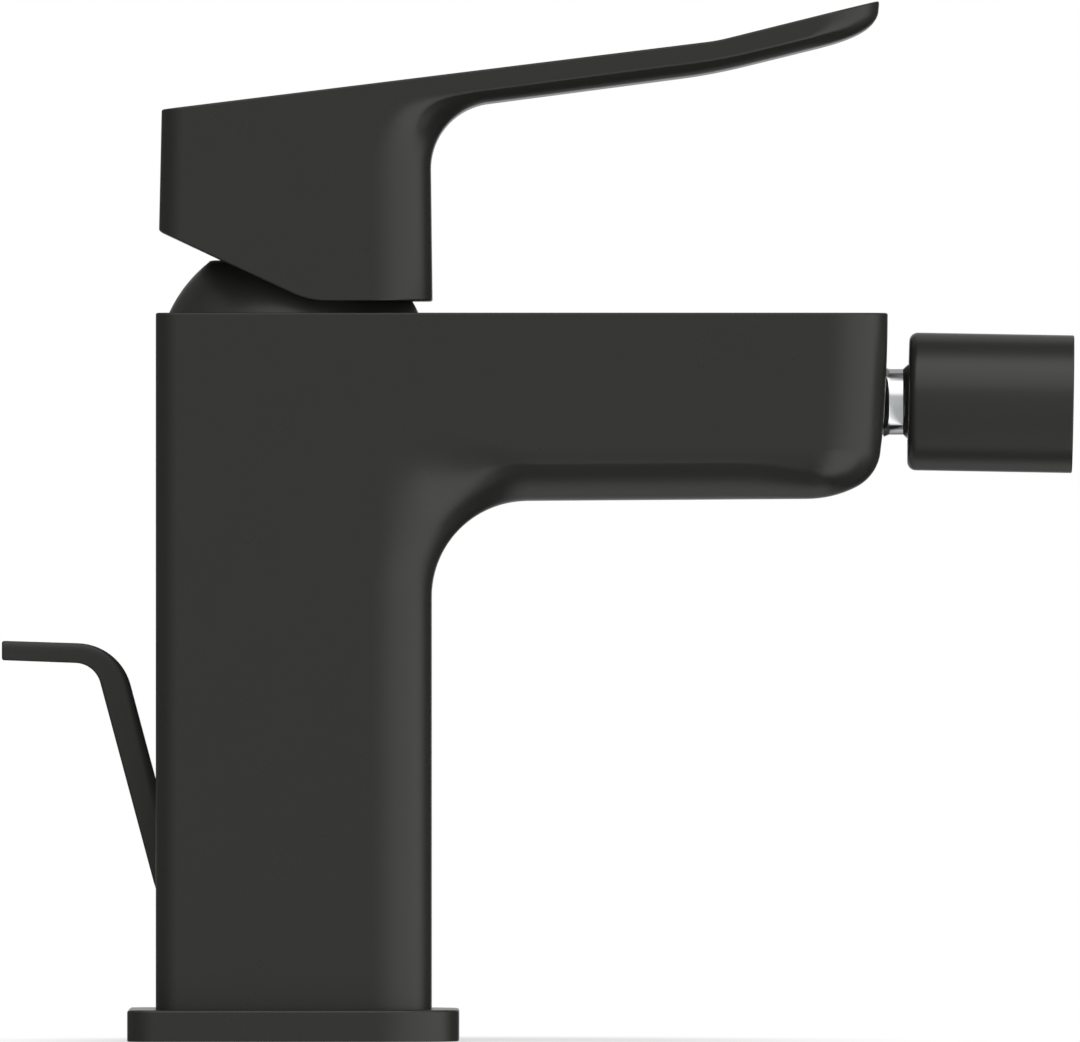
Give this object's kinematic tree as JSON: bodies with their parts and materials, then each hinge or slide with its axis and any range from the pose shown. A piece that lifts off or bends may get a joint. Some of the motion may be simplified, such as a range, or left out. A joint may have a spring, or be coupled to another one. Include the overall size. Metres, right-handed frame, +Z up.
{
  "type": "bidet mixer",
  "caption": "Square-bodied single-lever bidet mixer with a plate lever on a domed cap, a straight spout, a ball-jointed aerator and a rear pull rod for the waste.",
  "frame": {"origin": "middle of the base plate's underside, where the mixer stands on the sanitary ware", "axes": "+X the way the spout points, +Y to the left for someone who looks along +X from behind the column, +Z up"},
  "size_m": [0.1627, 0.0502, 0.1576],
  "materials": {
    "black_body": "matt black coating on brass",
    "black_cap": "matt black coating, slightly smoother",
    "polished_chrome": "polished",
    "raw_brass": "machined",
    "steel": "plain",
    "seal_rubber": "matt",
    "white_plastic": "moulded",
    "grey_plastic": "moulded",
    "red_plastic": "moulded",
    "index_plastic": "gloss, one half blue and one half red",
    "disc_ceramic": "lapped"
  },
  "bodies": {
    "fixed_body": {"body": "black_body", "base_plate": "black_body", "base_gasket": "seal_rubber", "rod_guide": "grey_plastic", "cartridge_base": "white_plastic", "port_seals": "seal_rubber", "disc_seals": "seal_rubber", "fixed_disc": "disc_ceramic", "cartridge_housing": "white_plastic", "limiter_ring": "red_plastic", "cartridge_nut": "raw_brass", "dome_cap": "black_cap", "ball_stem": "polished_chrome", "stem_seal": "seal_rubber"},
    "turning_sleeve": {"rotor": "grey_plastic", "rotor_seal": "seal_rubber", "stem_pin": "steel"},
    "lever": {"lever_stem": "raw_brass", "handle": "black_body", "handle_screw": "steel", "index_plug": "index_plastic"},
    "disc_slider": {"moving_disc": "disc_ceramic", "disc_carrier": "grey_plastic"},
    "waste_rod": {"pull_rod": "black_body"},
    "joint_liner": {"ball_liner": "white_plastic"},
    "aerator": {"aerator_housing": "black_body", "ball_seal": "seal_rubber", "socket_ring": "raw_brass", "aerator_washer": "seal_rubber", "aerator_insert": "grey_plastic", "flow_plate": "white_plastic", "mesh_screens": "steel", "outlet_grid": "grey_plastic"}
  },
  "joints": [
    {"name": "temperature_turn", "type": "hinge", "parent": "fixed_body", "child": "turning_sleeve", "pos_m": [0, 0, 0.1017], "axis": [0, 0, 1], "range_deg": [-45, 45]},
    {"name": "flow_lift", "type": "hinge", "parent": "turning_sleeve", "child": "lever", "pos_m": [0, 0, 0.1017], "axis": [0, -1, 0], "range_deg": [0, 25]},
    {"name": "disc_travel", "type": "slide", "parent": "turning_sleeve", "child": "disc_slider", "axis": [1, 0, 0], "range_m": [0, 0.004]},
    {"name": "pull_rod_slide", "type": "slide", "parent": "fixed_body", "child": "waste_rod", "axis": [-0.2588, 0, 0.9659], "range_m": [0, 0.018]},
    {"name": "aerator_swing", "type": "hinge", "parent": "fixed_body", "child": "joint_liner", "pos_m": [0.09785, 0, 0.09685], "axis": [0, 0, 1], "range_deg": [-10, 10]},
    {"name": "aerator_nod", "type": "hinge", "parent": "joint_liner", "child": "aerator", "pos_m": [0.09785, 0, 0.09685], "axis": [0, 1, 0], "range_deg": [-10, 10]}
  ],
  "couplings": [
    {"joint": "disc_travel", "follows": "flow_lift", "m_per_rad": 0.00893}
  ]
}
